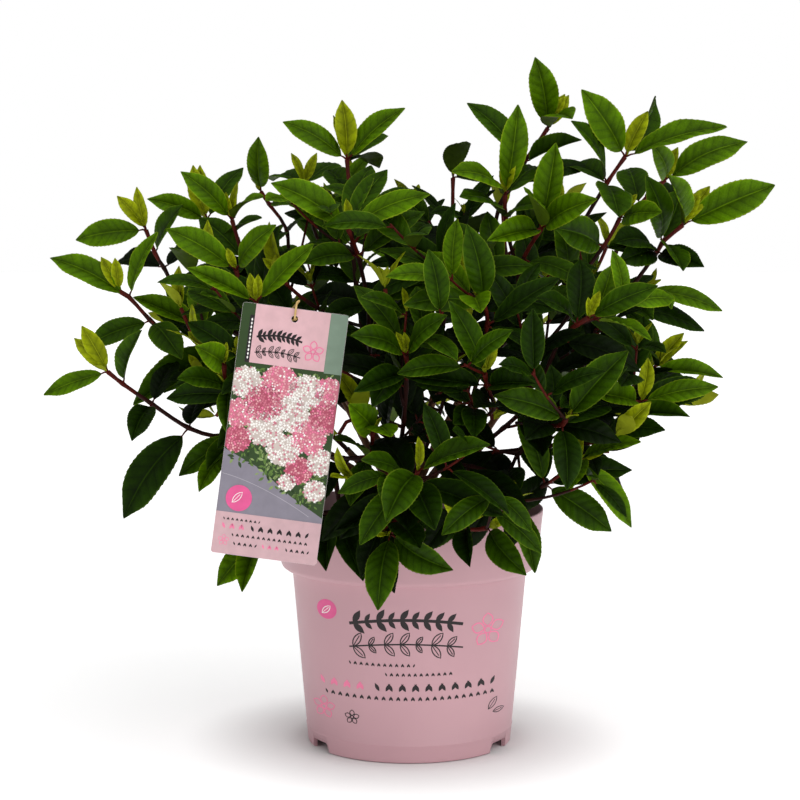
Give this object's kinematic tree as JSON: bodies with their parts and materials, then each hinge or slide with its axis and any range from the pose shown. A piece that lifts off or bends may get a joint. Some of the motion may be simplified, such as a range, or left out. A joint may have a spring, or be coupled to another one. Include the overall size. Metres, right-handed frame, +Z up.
{
  "type": "potted panicle hydrangea",
  "caption": "Bushy young panicle hydrangea in leaf, in a round nursery pot with a deep collar, a plain hanging label tied to one shoot.",
  "frame": {"origin": "middle of the pot's flat underside", "axes": "+Z up; -Y the front that the picture shows, +X to the right of it"},
  "size_m": [0.6117, 0.5478, 0.5776],
  "materials": {
    "pot": "satin dusty pink plastic",
    "peat": "dark crumbly potting peat",
    "bark": "young red-brown bark",
    "leaf": "green leaves, softly shiny",
    "card": "printed coated card",
    "tie": "soft straw-coloured tie"
  },
  "bodies": {
    "root": {"bough_back": "bark", "bough_back_left": "bark", "bough_back_right": "bark", "bough_centre_left": "bark", "bough_centre_right": "bark", "bough_front": "bark", "bough_front_left": "bark", "bough_front_right": "bark", "bough_left_high": "bark", "bough_left_low": "bark", "bough_right": "bark", "bough_right_front": "bark", "bough_right_top": "bark", "foliage_back_left_high": "leaf", "foliage_back_left_low": "leaf", "foliage_back_mid": "leaf", "foliage_back_right_high": "leaf", "foliage_back_right_low": "leaf", "foliage_centre": "leaf", "foliage_front_left": "leaf", "foliage_front_left_high": "leaf", "foliage_front_left_low": "leaf", "foliage_front_low": "leaf", "foliage_front_mid": "leaf", "foliage_front_right_low": "leaf", "foliage_front_right_mid": "leaf", "foliage_left_high": "leaf", "foliage_left_inner": "leaf", "foliage_left_reach": "leaf", "foliage_left_side": "leaf", "foliage_right_front": "leaf", "foliage_right_front_high": "leaf", "foliage_right_front_low": "leaf", "foliage_right_high": "leaf", "foliage_right_side": "leaf", "foliage_right_top": "leaf", "foliage_top_back": "leaf", "foliage_top_left": "leaf", "foliage_top_right": "leaf", "label_card": "card", "label_tie": "tie", "peat": "peat", "pot": "pot", "trunk": "bark"}
  },
  "joints": []
}
